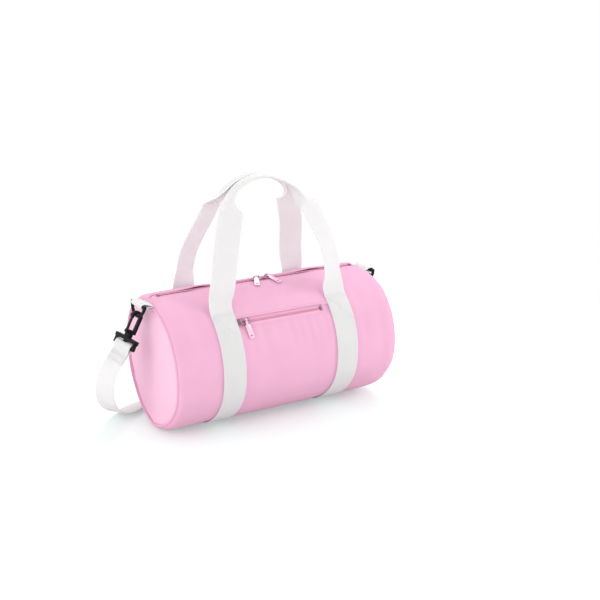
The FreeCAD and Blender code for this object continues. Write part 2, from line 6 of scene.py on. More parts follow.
import bmesh
import bpy
import numpy as np
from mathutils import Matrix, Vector


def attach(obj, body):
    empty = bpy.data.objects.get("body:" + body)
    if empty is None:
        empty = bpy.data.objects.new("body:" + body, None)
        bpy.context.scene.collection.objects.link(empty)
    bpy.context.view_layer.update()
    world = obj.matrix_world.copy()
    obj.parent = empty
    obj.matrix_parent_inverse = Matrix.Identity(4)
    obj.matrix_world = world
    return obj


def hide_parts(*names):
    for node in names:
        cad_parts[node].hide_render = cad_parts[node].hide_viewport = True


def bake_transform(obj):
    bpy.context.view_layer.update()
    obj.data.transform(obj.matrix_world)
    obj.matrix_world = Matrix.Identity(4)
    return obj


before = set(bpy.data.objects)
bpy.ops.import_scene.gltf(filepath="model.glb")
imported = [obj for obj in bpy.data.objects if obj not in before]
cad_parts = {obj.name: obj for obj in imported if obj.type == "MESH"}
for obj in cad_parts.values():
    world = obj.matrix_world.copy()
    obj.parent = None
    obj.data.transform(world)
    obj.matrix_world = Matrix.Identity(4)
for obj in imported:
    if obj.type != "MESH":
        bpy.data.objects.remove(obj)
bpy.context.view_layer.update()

# Barrel cloth
# Plain-woven polyester canvas rolled into a barrel, open along the top for the main zip, with the pocket's
# front let in between the bands. The bag is stuffed, so the cloth swells, dips beside the webbing and
# puckers at its seams.
mm = 0.001
barrel_radius = 101.0
barrel_axis = 98.6
half_length = 176.0
shoulder_length = 14.0
shoulder_radius = 14.04
seam_rounding = shoulder_radius - math.sqrt(shoulder_radius**2 - shoulder_length**2)
stuffing = 0.4
right_push = 5.0
left_slack = 7.0
slack_at = (195.0, 55.0)
tab_spread = 20.0
sag_depth = 5.0
sag_span = (0.25, 0.9)
flat_share = 0.35
flat_span = (0.97, 1.0)
end_from = 120.0
cloth_floor = 1.9
floor_softness = 6.0
cloth_thickness = 1.2
top_angle = 90.0
main_lip = 3.97
main_slot_end = 171.5
pocket_angle = 41.4
pocket_lip = 3.12
pocket_slot = (-75.5, 64.5)
band_middle = 93.0
band_half = 17.5
band_end = (50.5, 57.5)
cloth_gap = 2.6
cloth_turn = 1.6
shoulder_turns = (14.0, 24.0, 36.0, 48.0, 60.0, 72.0, 85.5)
handle_arch = 2.6
arch_width = 24.0
arch_turn = 17.0
middle_belly = 1.5
middle_end = (48.0, 72.0)
end_belly = 1.3
end_belly_at = (140.0, 20.0)
seam_pucker = 0.32
pucker_from = (156.0, 174.0)
cloth_ripple = 0.25
band_groove = 0.8
groove_at = (2.0, 3.0)
band_press = 0.25
press_end = (0.0, 5.0)
fold_lean = 0.05
fold_foot = (-2.0, 32.0)
fold_head = (34.0, 38.2)
fold_top = 38.0
# Bellies in front and behind: angle and its spread.
bellies = ((-22.0, 42.0), (196.0, 46.0))
# Hollows on both sides of the main zip: depth, angle and its spread.
zip_hollows = ((2.4, 66.0, 10.0), (2.0, 115.0, 13.0))
# Folds that hang below the pocket's zip: place along x, width and depth.
pocket_folds = (
    (-57.0, 6.0, 1.2), (-38.0, 6.5, 2.0), (-16.0, 6.0, 1.0), (5.0, 4.5, 1.9), (18.0, 4.5, 1.6),
    (34.0, 4.5, 2.1), (47.0, 4.5, 1.8), (60.0, 5.0, 1.2),
)
# Slack elsewhere: depth, place along x and its spread, angle and its spread.
slack_dips = (
    (2.4, -130.0, 13.0, 24.0, 24.0), (-1.2, -150.0, 9.0, 40.0, 26.0), (1.5, 128.0, 8.0, 30.0, 34.0),
    (1.0, 152.0, 6.0, 8.0, 30.0), (1.8, 20.0, 26.0, 160.0, 24.0), (1.6, -46.0, 16.0, 205.0, 20.0),
    (1.5, -132.0, 12.0, 170.0, 26.0), (1.5, 132.0, 12.0, 170.0, 26.0),
)


def hill(value, middle, spread):
    return np.exp(-((value - middle) / spread) ** 2)


def rise(value, low, high):
    share = np.clip((value - low) / (high - low), 0.0, 1.0)
    return share * share * (3.0 - 2.0 * share)


def fall(value, low, high):
    return 1.0 - rise(value, low, high)


def unrolled(angle):
    """The same angle, from -90 at the floor up over the front to 270."""
    return (angle + 90.0) % 360.0 - 90.0


def swell(x, angle):
    """How far the stuffed cloth stands out from a plain barrel, in mm."""
    angle = unrolled(angle)
    out = np.abs(x)
    middle_part = fall(out, *middle_end)
    lift = handle_arch * hill(out, band_middle, arch_width) * hill(angle, top_angle, arch_turn)
    for depth, at, spread in zip_hollows:
        lift -= depth * middle_part * hill(angle, at, spread)
    belly = sum(hill(angle, *at) for at in bellies)
    lift += (middle_belly * middle_part + end_belly * hill(out, *end_belly_at)) * belly
    hang = rise(angle, *fold_foot) * fall(angle, *fold_head)
    for middle, width, depth in pocket_folds:
        lean = middle + fold_lean * (fold_top - angle) * np.sign(middle)
        lift -= depth * hill(x, lean, width) * hang
    for depth, middle, width, at, spread in slack_dips:
        lift -= depth * hill(x, middle, width) * hill(angle, at, spread)
    uneven = np.radians(angle * 13.0 + 40.0 * np.sin(np.radians(3.0 * angle)))
    lift += seam_pucker * rise(out, *pucker_from) * np.sin(uneven)
    lift += cloth_ripple * np.sin(x / 17.0 + 0.06 * angle) * np.sin(np.radians(angle * 4.0) + x / 41.0)
    beside = np.abs(out - band_middle) - band_half
    sewn = fall(angle, *band_end) + fall(180.0 - angle, *band_end)
    lift -= band_groove * hill(beside, *groove_at) * sewn
    held = fall(beside, *press_end) * sewn
    return lift * (1.0 - held) - band_press * held


def off_top(angle):
    """0 along the main zip and under the end tabs, 1 well away from them."""
    return 1.0 - hill(unrolled(angle), top_angle, tab_spread)


def end_shift(angle, side):
    """How far along x an end seam is moved: the right end stuffed out, the left one slack behind."""
    if side > 0:
        return right_push * off_top(angle)
    return left_slack * hill(unrolled(angle), *slack_at)


def sag(angle):
    """How far the cloth draws in round the underside, where the load settles."""
    under = -np.sin(np.radians(angle))
    return sag_depth * rise(under, *sag_span) * (1.0 - flat_share * rise(under, *flat_span))


def on_barrel(x, angle, lift=0.0, swollen=1.0):
    """Place on the cloth at x and at an angle above the front horizon, lifted off it, swollen or plain."""
    x, angle = np.broadcast_arrays(np.asarray(x, float), np.asarray(angle, float))
    over = np.maximum(np.abs(x) - (half_length - shoulder_length), 0.0)
    rounding = (shoulder_radius - np.sqrt(shoulder_radius**2 - over**2)) * (1.0 - stuffing * off_top(angle))
    radius = barrel_radius - rounding + swollen * swell(x, angle) - sag(angle) + lift
    turn = np.radians(angle)
    drop = barrel_axis + radius * np.sin(turn) - cloth_floor
    height = cloth_floor + 0.5 * (drop + np.sqrt(drop**2 + floor_softness))
    to_right = rise(x, end_from, half_length) * end_shift(angle, 1)
    to_left = rise(-x, end_from, half_length) * end_shift(angle, -1)
    return np.stack([x + to_right + to_left, -radius * np.cos(turn), height], axis=-1)


def gridded(*parts):
    """The parts of each place of a grid, from columns and rows that are spread over it."""
    return np.stack(np.broadcast_arrays(*parts), axis=-1)


def steps(stops, gap):
    """Rising values through all the stops, no further apart than the gap."""
    values = [stops[0]]
    for low, high in zip(stops, stops[1:]):
        count = max(1, math.ceil((high - low) / gap))
        values += [low + (high - low) * (i + 1) / count for i in range(count)]
    return np.array(values)


def meshed(name, points, faces):
    """Smooth mesh of points in mm."""
    mesh = bpy.data.meshes.new(name)
    mesh.from_pydata((np.asarray(points) * mm).tolist(), [], faces)
    mesh.shade_smooth()
    return mesh


def cloth_mesh(name, points, threads, keep=None, ring=False, caps=False):
    """Mesh over a grid of points in mm. Threads are places along the yarns, in mm, for the weave."""
    rows, columns = points.shape[:2]
    faces = []
    for i in range(rows - 1):
        low, high = i * columns, (i + 1) * columns
        for j in range(columns if ring else columns - 1):
            if keep is None or keep[i, j]:
                k = (j + 1) % columns
                faces.append((low + j, high + j, high + k, low + k))
    if caps:
        faces.append(tuple(range(columns)))
        faces.append(tuple(range(rows * columns - 1, (rows - 1) * columns - 1, -1)))
    used = sorted({v for face in faces for v in face})
    place = {v: i for i, v in enumerate(used)}
    faces = [[place[v] for v in face] for face in faces]
    mesh = meshed(name, points.reshape(-1, 3)[used], faces)
    yarn = mesh.attributes.new("thread", "FLOAT_VECTOR", "POINT")
    flat_threads = np.zeros((len(used), 3), np.float32)
    flat_threads[:, :2] = threads.reshape(-1, 2)[used]
    yarn.data.foreach_set("vector", flat_threads.ravel())
    return mesh


def placed(name, data):
    holder = bpy.data.objects.new(name, data)
    bpy.context.scene.collection.objects.link(holder)
    return holder


def made(name, mesh, material, slot, *nodes):
    """New piece in the scene that stands for these nodes."""
    piece = placed(name, mesh)
    piece.data.materials.append(material)
    if nodes:
        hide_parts(*nodes)
    return piece


def on_bag(*parts, depth=0.0):
    """New piece that stays on the bag. Thin cloth gets a depth in mm, inwards from the face that shows."""
    piece = made(*parts)
    if depth:
        solid = piece.modifiers.new("thickness", "SOLIDIFY")
        solid.thickness = depth * mm
        solid.offset = -1.0
    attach(piece, "bag")


class Wire:
    """One value in a material. Sums on it add the nodes that work them out."""

    def __init__(self, tree, socket=None):
        self.tree = tree
        self.socket = socket

    def node(self, kind, inputs=None, **settings):
        new = self.tree.nodes.new("ShaderNode" + kind)
        for key, value in settings.items():
            setattr(new, key, value)
        for key, value in (inputs or {}).items():
            if isinstance(value, Wire):
                self.tree.links.new(value.socket, new.inputs[key])
            else:
                new.inputs[key].default_value = value
        return Wire(self.tree, new.outputs[0])

    def out(self, key):
        return Wire(self.tree, self.socket.node.outputs[key])

    def into(self, shader, key):
        self.tree.links.new(self.socket, shader.inputs[key])

    def math(self, operation, first, second=0.0, clamp=False):
        return self.node("Math", {0: first, 1: second}, operation=operation, use_clamp=clamp)

    def mix(self, dark, pale):
        """Colour between dark, at 0, and pale, at 1."""
        return self.node("Mix", {0: self, 6: (*dark, 1.0), 7: (*pale, 1.0)}, data_type="RGBA").out(2)

    def noise(self, scale, detail, place=None):
        """Uneven values over the object, or over a place that is given."""
        place = place or self.node("TexCoord").out("Object")
        return self.node("TexNoise", {"Vector": place, "Scale": scale, "Detail": detail})

    def bump(self, shader, strength, distance):
        """Use this value as the height of a surface's relief."""
        relief = {"Strength": strength, "Distance": distance, "Height": self}
        self.node("Bump", relief).into(shader, "Normal")

    def sin(self):
        return self.math("SINE", self)

    def clamp(self):
        return self.math("ADD", self, 0.0, True)

    def __add__(self, other):
        return self.math("ADD", self, other)

    __radd__ = __add__

    def __sub__(self, other):
        return self.math("SUBTRACT", self, other)

    def __mul__(self, other):
        return self.math("MULTIPLY", self, other)


def finish(name, settings=None):
    """New material, the start of its wires and its shader with these settings."""
    material = bpy.data.materials.new(name)
    material.use_nodes = True
    shader = material.node_tree.nodes["Principled BSDF"]
    for key, value in (settings or {}).items():
        shader.inputs[key].default_value = value
    return material, Wire(material.node_tree), shader


def canvas(name, dark, pale, pitch, relief):
    """Plain weave with slightly uneven dye, from its darkest to its palest colour."""
    cloth = {"Specular IOR Level": 0.25, "Sheen Weight": 0.12, "Sheen Roughness": 0.45}
    material, wire, shader = finish(name, cloth)
    thread = wire.node("Attribute", attribute_name="thread").out("Vector")
    across = wire.node("SeparateXYZ", {0: thread})
    along = across.out("Y")
    turn = 2.0 * math.pi / pitch
    weave = (across * turn).sin() * (along * turn).sin()
    cloud = wire.noise(26.0, 3.0)
    slub = wire.noise(0.7, 2.0, thread)
    tone = (0.5 + weave * 0.2 + (cloud - 0.5) * 0.7 + (slub - 0.5) * 0.45).clamp()
    tone.mix(dark, pale).into(shader, "Base Color")
    (0.8 + weave * 0.05 + cloud * 0.1).into(shader, "Roughness")
    (weave + slub * 0.8).bump(shader, relief, 0.0002)
    return material


def beside_slot(x, angle, middle, lip, ends):
    """Distance in mm from the edge of a slot, 0 inside it."""
    along = np.maximum(np.maximum(ends[0] - x, x - ends[1]), 0.0)
    across = np.maximum(np.abs(angle - middle) - lip, 0.0) * math.radians(barrel_radius)
    return np.hypot(along, across)


# Heights of the turned-in edges, each with the distances from the slot between which it fades out.
main_hem = (0.35, 4.0, 8.0)
main_turn_in = (-0.9, 0.0, 1.3)
pocket_hem = (1.0, 3.5, 8.0)
pocket_turn_in = (-0.6, 0.0, 1.2)
pocket_sunk = (-1.05, 0.0, 5.0)


def faded(distance, height, near, far):
    return height * fall(distance, near, far)


def hem(x, angle):
    """Height of the turned-in edges round the two slots."""
    main = beside_slot(x, angle, top_angle, main_lip, (-main_slot_end, main_slot_end))
    pocket = beside_slot(x, angle, pocket_angle, pocket_lip, (pocket_slot[0], band_middle - band_half))
    height = faded(main, *main_hem) + faded(main, *main_turn_in)
    flap = faded(pocket, *pocket_hem) + faded(pocket, *pocket_turn_in)
    lower = faded(pocket, *pocket_sunk)
    return height + np.where(angle > pocket_high - 0.1, flap, lower)


main_low, main_high = top_angle - main_lip, top_angle + main_lip
pocket_low, pocket_high = pocket_angle - pocket_lip, pocket_angle + pocket_lip
edge = 0.7
rim = math.degrees(edge / barrel_radius)
pink_canvas = canvas("pink_canvas", (0.79, 0.405, 0.585), (0.87, 0.485, 0.67), 0.85, 0.3)
straight = half_length - shoulder_length
shoulder = [straight + shoulder_radius * math.sin(math.radians(turn)) for turn in shoulder_turns]
shoulder = sorted(shoulder + [main_slot_end, main_slot_end + edge])
x_stops = sorted([-straight, straight, *pocket_slot, pocket_slot[0] - edge, pocket_slot[1] + edge])
cloth_x = np.concatenate([[-x for x in shoulder[::-1]], steps(x_stops, cloth_gap), shoulder])
angle_stops = [
    main_high - 360.0, main_high - 360.0 + rim, pocket_low - rim, pocket_low, pocket_high - rim,
    pocket_high, pocket_high + rim, main_low - rim, main_low, top_angle, main_high,
]
cloth_angle = steps(angle_stops, cloth_turn)
grid_x, grid_angle = cloth_x[:, None], cloth_angle[None, :]
barrel_points = on_barrel(grid_x, grid_angle, hem(grid_x, unrolled(grid_angle)))
barrel_threads = gridded(grid_x, grid_angle * math.radians(barrel_radius))
cell_x = (cloth_x[1:] + cloth_x[:-1])[:, None] / 2
cell_angle = (cloth_angle[1:] + cloth_angle[:-1])[None, :] / 2
in_main = (np.abs(cell_x) < main_slot_end) & (np.abs(cell_angle - top_angle) < main_lip)
in_pocket = (cell_x > pocket_slot[0]) & (cell_x < pocket_slot[1])
in_pocket = in_pocket & (np.abs(cell_angle - pocket_angle) < pocket_lip)
barrel_mesh = cloth_mesh("barrel_cloth", barrel_points, barrel_threads, ~(in_main | in_pocket))
on_bag("barrel_cloth", barrel_mesh, pink_canvas, "pink_cloth", "main_panel", "pocket_panel",
       depth=cloth_thickness)

# Topstitching on the barrel
# Pink polyester thread, sewn through the turned-in edges along both zips, on the pocket's as far as the
# right band. Each stitch is a short loop of thread that sinks into the cloth at its ends.
stitch_pitch = 3.4
stitch_length = 2.5
stitch_thickness = 0.6
stitch_sides = 6
# Rings of one stitch: place along it in half lengths, size, and height above the cloth in thicknesses.
stitch_rings = ((-1.0, 0.2, -0.25), (-0.6, 1.0, 0.1), (0.6, 1.0, 0.1), (1.0, 0.2, -0.25))


def unit(rows):
    """The same directions, 1 long."""
    return rows / np.linalg.norm(rows, axis=1)[:, None]


def square_to(run, guess):
    """The guessed directions, turned square to the run."""
    return unit(guess - run * (guess * run).sum(1)[:, None])


def distances(line):
    """How far along a line each of its places is."""
    return np.concatenate([[0.0], np.cumsum(np.linalg.norm(np.diff(line, axis=0), axis=1))])


def between(where, along, values):
    """Values at distances along a row, straight from one of its places to the next."""
    return np.stack([np.interp(where, along, values[:, k]) for k in range(3)], axis=1)


def tube_faces(start, rings, sides):
    """Faces of one closed tube, whose rings of points follow one another from the starting point."""
    faces = []
    last = start + (rings - 1) * sides
    for low in range(start, last, sides):
        for j in range(sides):
            n = (j + 1) % sides
            faces.append((low + j, low + n, low + sides + n, low + sides + j))
    faces.append(tuple(range(start + sides - 1, start - 1, -1)))
    faces.append(tuple(range(last, last + sides)))
    return faces


def stitch_mesh(name, rows):
    """Stitches along rows, each a pair of places and outward directions."""
    around = np.arange(stitch_sides) * 2.0 * math.pi / stitch_sides
    points, faces = [], []
    for places, outward in rows:
        along = distances(places)
        count = max(1, int(along[-1] / stitch_pitch))
        where = (np.arange(count) + 0.5) * along[-1] / count
        middle = between(where, along, places)
        run = unit(between(where + 0.5, along, places) - between(where - 0.5, along, places))
        up = square_to(run, between(where, along, outward))
        side = np.cross(run, up)
        for m, r, u, s in zip(middle, run, up, side):
            faces += tube_faces(len(points), len(stitch_rings), stitch_sides)
            for reach, size, sink in stitch_rings:
                centre = m + r * (reach * stitch_length / 2) + u * (sink * stitch_thickness)
                half = size * stitch_thickness / 2
                points += [centre + s * (half * math.cos(a)) + u * (half * math.sin(a)) for a in around]
    return meshed(name, points, faces)


def sewing_thread(name, dark, pale):
    """Twisted thread: fine slanting plies and a soft shine."""
    material, wire, shader = finish(name)
    place = wire.node("TexCoord").out("Object")
    wave = {"Vector": place, "Scale": 900.0, "Distortion": 1.0}
    ply = wire.node("TexWave", wave, bands_direction="DIAGONAL").out("Fac")
    ply.mix(dark, pale).into(shader, "Base Color")
    (0.55 + ply * 0.15).into(shader, "Roughness")
    ply.bump(shader, 0.3, 0.0001)
    return material


pink_thread = sewing_thread("pink_thread", (0.78, 0.34, 0.54), (0.92, 0.50, 0.70))
lip_seam = 3.6
stitch_lift = 0.1
seam_turn = math.degrees(lip_seam / barrel_radius)
main_x = np.linspace(-main_slot_end, main_slot_end, 160)
pocket_x = np.linspace(pocket_slot[0] + 1.0, band_middle - band_half, 80)
lip_rows = []
for row_x, row_angle in (
    (main_x, main_low - seam_turn), (main_x, main_high + seam_turn),
    (pocket_x, pocket_high + seam_turn), (pocket_x, pocket_low - seam_turn),
):
    places = on_barrel(row_x, row_angle, hem(row_x, row_angle) + stitch_lift)
    outward = (places - np.array([0.0, 0.0, barrel_axis])) * np.array([0.0, 1.0, 1.0])
    lip_rows.append((places, unit(outward)))
on_bag("lip_stitches", stitch_mesh("lip_stitches", lip_rows), pink_thread, "pink_cloth")

# End panels and their piping
# Round canvas discs, domed by the stuffing and a little slack, sewn into each end of the barrel.
# A narrow cloth-covered cord is caught in the seam and stands up as a soft ridge.
both_ends = (("left", -1.0), ("right", 1.0))
panel_inset = 1.1
panel_x = 175.2
panel_dome = 4.5
panel_ripple = 0.22
panel_pucker = 0.35
pucker_at = (0.93, 0.05)
panel_sewn = (0.97, 1.0)
# Dents and bulges: height, then place across, its spread, place up and its spread as shares of the radius.
panel_dents = (
    (-0.35, -0.1, 0.34, 0.25, 0.55), (0.5, 0.42, 0.3, -0.2, 0.5), (-0.4, -0.5, 0.2, -0.35, 0.4),
)
piping_inset = 0.3
piping_out = 0.3
piping_radius = 1.9
piping_wobble = 0.06
panel_rings = np.concatenate([[0.02], np.linspace(0.05, 0.9, 20), np.linspace(0.92, 1.0, 7)])
panel_turns = np.arange(0.0, 360.0, 2.5)
# Yarn in mm for each step round the seam and for each degree round the piping's cord.
ring_yarn = 3.05
cord_yarn = 0.033
# The end panels' canvas is the barrel's pink painted paler: painted light for the extra light that falls on
# the ends.
pink_panel_painted_light = canvas("pink_panel_painted_light", (0.88, 0.505, 0.68), (0.96, 0.59, 0.765), 0.85, 0.3)
pink_piping = canvas("pink_piping", (0.79, 0.39, 0.57), (0.87, 0.47, 0.655), 0.85, 0.25)


def seam_ring(angle):
    """Distance of an end seam from the barrel's axis."""
    return barrel_radius - seam_rounding * (1.0 - stuffing * off_top(angle)) - sag(angle)


def face_outward(mesh, hole=()):
    """Turn the faces of a mesh outwards, after closing the hole between these points."""
    work = bmesh.new()
    work.from_mesh(mesh)
    work.verts.ensure_lookup_table()
    if hole:
        work.faces.new([work.verts[i] for i in hole])
    bmesh.ops.recalc_face_normals(work, faces=work.faces)
    work.to_mesh(mesh)
    work.free()


def end_dome(share, turn, side):
    """How far an end panel stands out past its seam."""
    y, z = share * np.cos(turn), share * np.sin(turn)
    out = panel_dome * (1.0 - y**2 - z**2)
    for height, across, wide, up, tall in panel_dents:
        out += height * hill(y, across * side, wide) * hill(z, up, tall)
    out += panel_ripple * np.sin(6.0 * y + 3.0 * z) * np.sin(5.0 * z - 2.0 * y)
    out += panel_pucker * np.sin(turn * 17.0 + 1.5 * np.sin(3.0 * turn)) * hill(share, *pucker_at)
    return out * fall(share, *panel_sewn)


for name, side in both_ends:
    share = panel_rings[:, None]
    turn = np.radians(panel_turns * -side)[None, :]
    angle = 180.0 - np.degrees(turn)
    panel_edge = seam_ring(angle) - panel_inset
    y, z = panel_edge * share * np.cos(turn), panel_edge * share * np.sin(turn)
    middle_shift = right_push if side > 0 else 0.0
    shift = middle_shift + (end_shift(angle, side) - middle_shift) * share**2
    x = side * (panel_x + end_dome(share, turn, side)) + shift
    disc = cloth_mesh("end_cloth_" + name, gridded(x, y, z + barrel_axis), gridded(y, z), ring=True)
    face_outward(disc, range(len(panel_turns))[::-1])
    on_bag("end_cloth_" + name, disc, pink_panel_painted_light, "pink_cloth", "end_panel_" + name)

    ring_turn = np.radians(np.arange(0.0, 360.0, 2.0))[:, None]
    ring_angle = np.degrees(ring_turn)
    tube_turn = np.radians(np.arange(0.0, 360.0, 36.0))[None, :]
    wobble = piping_radius * (1.0 + piping_wobble * np.sin(ring_turn * 29.0))
    radius = seam_ring(ring_angle) - piping_inset + wobble * np.cos(tube_turn)
    x = side * (half_length + piping_out + wobble * np.sin(tube_turn)) + end_shift(ring_angle, side)
    tube = gridded(x, -radius * np.cos(ring_turn), barrel_axis + radius * np.sin(ring_turn))
    tube = np.concatenate([tube, tube[:1]])
    yarn = gridded(np.arange(len(tube))[:, None] * ring_yarn, np.degrees(tube_turn) * cord_yarn)
    piping = cloth_mesh("piping_" + name, tube, yarn, ring=True)
    on_bag("piping_" + name, piping, pink_piping, "pink_piping", "end_piping_" + name)

# Seam bindings and pocket bag, inside
# A folded tape binds the raw edge of each end seam, and a thin cloth bag hangs behind the pocket zip.
# Both are sewn to the barrel and don't show while the zips are closed.
binding_cloth = canvas("binding_cloth", (0.70, 0.32, 0.50), (0.82, 0.42, 0.61), 0.7, 0.3)
lining_cloth = canvas("lining_cloth", (0.74, 0.36, 0.54), (0.85, 0.46, 0.65), 0.5, 0.2)
binding_section = ((174.0, 86.2), (168.0, 86.3), (165.4, 86.0), (165.4, 85.6), (168.0, 85.3), (174.0, 85.4))
binding_radius = 86.0
binding_yarn = 3.0
for name, side in both_ends:
    ring_turn = np.radians(np.arange(0.0, 361.0, 3.0))[:, None]
    x, radius = np.array(binding_section).T[:, None, :]
    loop = gridded(side * x, -radius * np.cos(ring_turn), barrel_axis + radius * np.sin(ring_turn))
    yarn = gridded(ring_turn * binding_radius, np.arange(len(binding_section))[None, :] * binding_yarn)
    binding = cloth_mesh("binding_" + name, loop, yarn, ring=True)
    on_bag("binding_" + name, binding, binding_cloth, "binding", "seam_binding_" + name)

bag_half = 76.5
bag_low = -24.0
bag_high = 49.0
bag_side_edge = 8.0
bag_end_edge = 5.0
bag_gap = 0.3
bag_edge_depth = 1.0
bag_deepest = 9.0
bag_crease = 0.4
bag_yarn = 1.6
lining_thickness = 0.6
bag_x = steps([-bag_half, bag_half], 5.0)[:, None]
bag_angle = steps([bag_low, bag_high], 3.0)[None, :]
share_x = np.minimum(bag_half - np.abs(bag_x), bag_side_edge) / bag_side_edge
share_angle = np.minimum(np.minimum(bag_angle - bag_low, bag_high - bag_angle), bag_end_edge) / bag_end_edge
bag_depth = bag_edge_depth + bag_deepest * np.sqrt(np.clip(share_x * share_angle, 0.0, 1.0))
bag_depth = bag_depth + bag_crease * np.sin(bag_x / 9.0) * np.sin(bag_angle / 7.0) * share_x
turn = np.radians(bag_angle)
radius = barrel_radius - cloth_thickness - bag_gap - bag_depth
bag_points = gridded(bag_x, -radius * np.cos(turn), barrel_axis + radius * np.sin(turn))
bag_mesh = cloth_mesh("pocket_bag", bag_points, gridded(bag_x, bag_angle * bag_yarn))
on_bag("pocket_bag", bag_mesh, lining_cloth, "lining", "pocket_lining", depth=lining_thickness)

# Zip tapes and teeth
# Woven tape in the cloth's pink, sewn under the turned-in edges, with a nylon coil along each inner edge.
# The tape is painted paler than the cloth, as painted light against the shade in the zips' recesses. The
# coils mesh
# along the middle: half covered on the main zip, open on the pocket's. The main coil is painted dark mauve,
# as painted shade for the shadow line between the lips; the pocket's is pink, painted paler against the
# shade under its flap.
tape_drop = 1.35
tape_thickness = 0.8
tape_inner = 0.5
main_tape_outer = 14.7
pocket_tape_outer = 11.7
main_tape_ends = (-173.5, 173.5)
pocket_tape_ends = (-76.0, 66.0)
main_chain = (-159.0, 159.0)
pocket_chain = (-72.0, 60.0)
main_shown = 0.55
pocket_shown = 1.0
tooth_pitch = 2.25
# Rings of one tooth: reach across from the middle, and size.
tooth_rings = ((2.4, 0.25), (2.15, 0.44), (1.2, 0.48), (0.3, 0.52), (-0.3, 0.4), (-0.45, 0.2))
tooth_sides = 8
tooth_drop = 0.62
tooth_height = 1.35
# The tapes are painted paler than the cloth: painted light against the shade in the zips' recesses.
tape_weave_painted_light = canvas("tape_weave_painted_light", (0.88, 0.44, 0.61), (0.96, 0.54, 0.70), 0.6, 0.3)


def zip_tape(kind, strip, side, middle, ends, outer, swollen):
    name = kind + "_tape_" + strip
    x = steps(ends, 4.0)[:, None]
    reach = steps([tape_inner, outer], 2.0)[None, :] * side
    angle = middle + np.degrees(reach / (barrel_radius - tape_drop))
    order = slice(None, None, int(side))
    points = on_barrel(x, angle, -tape_drop, swollen)[:, order]
    mesh = cloth_mesh(name, points, gridded(x, reach)[:, order])
    on_bag(name, mesh, tape_weave_painted_light, "zip_tape", kind + "_zip_tape_" + strip, depth=tape_thickness)


def nylon(name, dark, pale):
    material, wire, shader = finish(name)
    grain = wire.noise(700.0, 2.0)
    grain.mix(dark, pale).into(shader, "Base Color")
    (0.34 + grain * 0.2).into(shader, "Roughness")
    grain.bump(shader, 0.15, 0.0001)
    return material


def zip_teeth(kind, strip, side, middle, ends, shown, material, swollen):
    """One coil: a row of bent loops that reach across the middle between those of the other side."""
    name = kind + "_teeth_" + strip
    shift = 0.0 if side > 0 else tooth_pitch / 2
    first, last = ends
    count = int((last - first - tooth_pitch) / tooth_pitch)
    around = np.arange(tooth_sides)[None, :] * 2.0 * math.pi / tooth_sides
    across, size = np.array(tooth_rings).T[:, :, None]
    angle = middle + np.degrees(side * shown * across / barrel_radius)
    lift = -tooth_drop + tooth_height * size * np.sin(around)
    points, faces = [], []
    for i in range(count):
        faces += tube_faces(i * len(tooth_rings) * tooth_sides, len(tooth_rings), tooth_sides)
        x = first + shift + (i + 0.5) * tooth_pitch + size * np.cos(around)
        points.append(on_barrel(x, angle, lift, swollen).reshape(-1, 3))
    mesh = meshed(name, np.concatenate(points), faces)
    face_outward(mesh)
    on_bag(name, mesh, material, "zip_coil", kind + "_zip_coil_" + strip)


# Painted shade: the main coil is painted dark mauve for the shadow line between the main zip's lips.
main_nylon_painted_shade = nylon("main_nylon_painted_shade", (0.34, 0.12, 0.21), (0.52, 0.22, 0.34))
# Painted light: the pocket's coil is painted paler pink to make up for the shade under the pocket's flap.
pocket_nylon = nylon("pocket_nylon", (0.78, 0.38, 0.55), (0.92, 0.52, 0.69))
for strip, side in (("front", -1.0), ("rear", 1.0)):
    zip_tape("main", strip, side, top_angle, main_tape_ends, main_tape_outer, 0.0)
    zip_teeth("main", strip, side, top_angle, main_chain, main_shown, main_nylon_painted_shade, 0.0)
for strip, side in (("lower", -1.0), ("upper", 1.0)):
    zip_tape("pocket", strip, side, pocket_angle, pocket_tape_ends, pocket_tape_outer, 1.0)
    zip_teeth("pocket", strip, side, pocket_angle, pocket_chain, pocket_shown, pocket_nylon, 1.0)

# Zip sliders, pulls and stops
# Die-cast zinc, lacquered to go with the cloth: the pulls pale pink, the sliders and stops a darker mauve.
# Each pull hangs by its eye from the slider's bail.
weld_gap = 1e-6
flat_edge = 0.6
hard_edge = 35.0
shaded_edge = 40.0


def moulded(name, node, body, slot, material, rounding):
    """The node's own shape with its hard edges rounded, as casting and moulding leave them."""
    work = bmesh.new()
    work.from_mesh(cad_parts[node].data)
    bmesh.ops.remove_doubles(work, verts=work.verts, dist=weld_gap)
    bmesh.ops.dissolve_limit(work, angle_limit=math.radians(flat_edge), verts=work.verts, edges=work.edges)
    limit = math.radians(hard_edge)
    hard = [e for e in work.edges if len(e.link_faces) == 2 and e.calc_face_angle(0.0) > limit]
    bmesh.ops.bevel(work, geom=hard, offset=rounding * mm, offset_type="OFFSET", segments=2, profile=0.6,
                    affect="EDGES", clamp_overlap=True)
    bmesh.ops.triangulate(work, faces=[f for f in work.faces if len(f.verts) > 4])
    mesh = bpy.data.meshes.new(name)
    work.to_mesh(mesh)
    work.free()
    mesh.shade_smooth()
    mesh.set_sharp_from_angle(angle=math.radians(shaded_edge))
    piece = made(name, mesh, material, slot, node)
    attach(piece, body)
    return piece


def lacquered(name, dark, pale, roughness):
    """Thin lacquer over cast metal: faintly uneven, paler along its sharp edges and darker in its hollows,
    where the darkening is painted shade.
    """
    material, wire, shader = finish(name, {"Metallic": 0.45, "Coat Weight": 0.3})
    cast = wire.noise(260.0, 3.0)
    # Paler on the outward edges, darker in the hollows: the darkening in the hollows is painted shade.
    edges_and_hollows = (wire.node("NewGeometry").out("Pointiness") - 0.5) * 6.0
    tone = (0.4 + (cast - 0.5) * 0.6 + edges_and_hollows).clamp()
    tone.mix(dark, pale).into(shader, "Base Color")
    (roughness + cast * 0.12).into(shader, "Roughness")
    cast.bump(shader, 0.08, 0.0002)
    return material


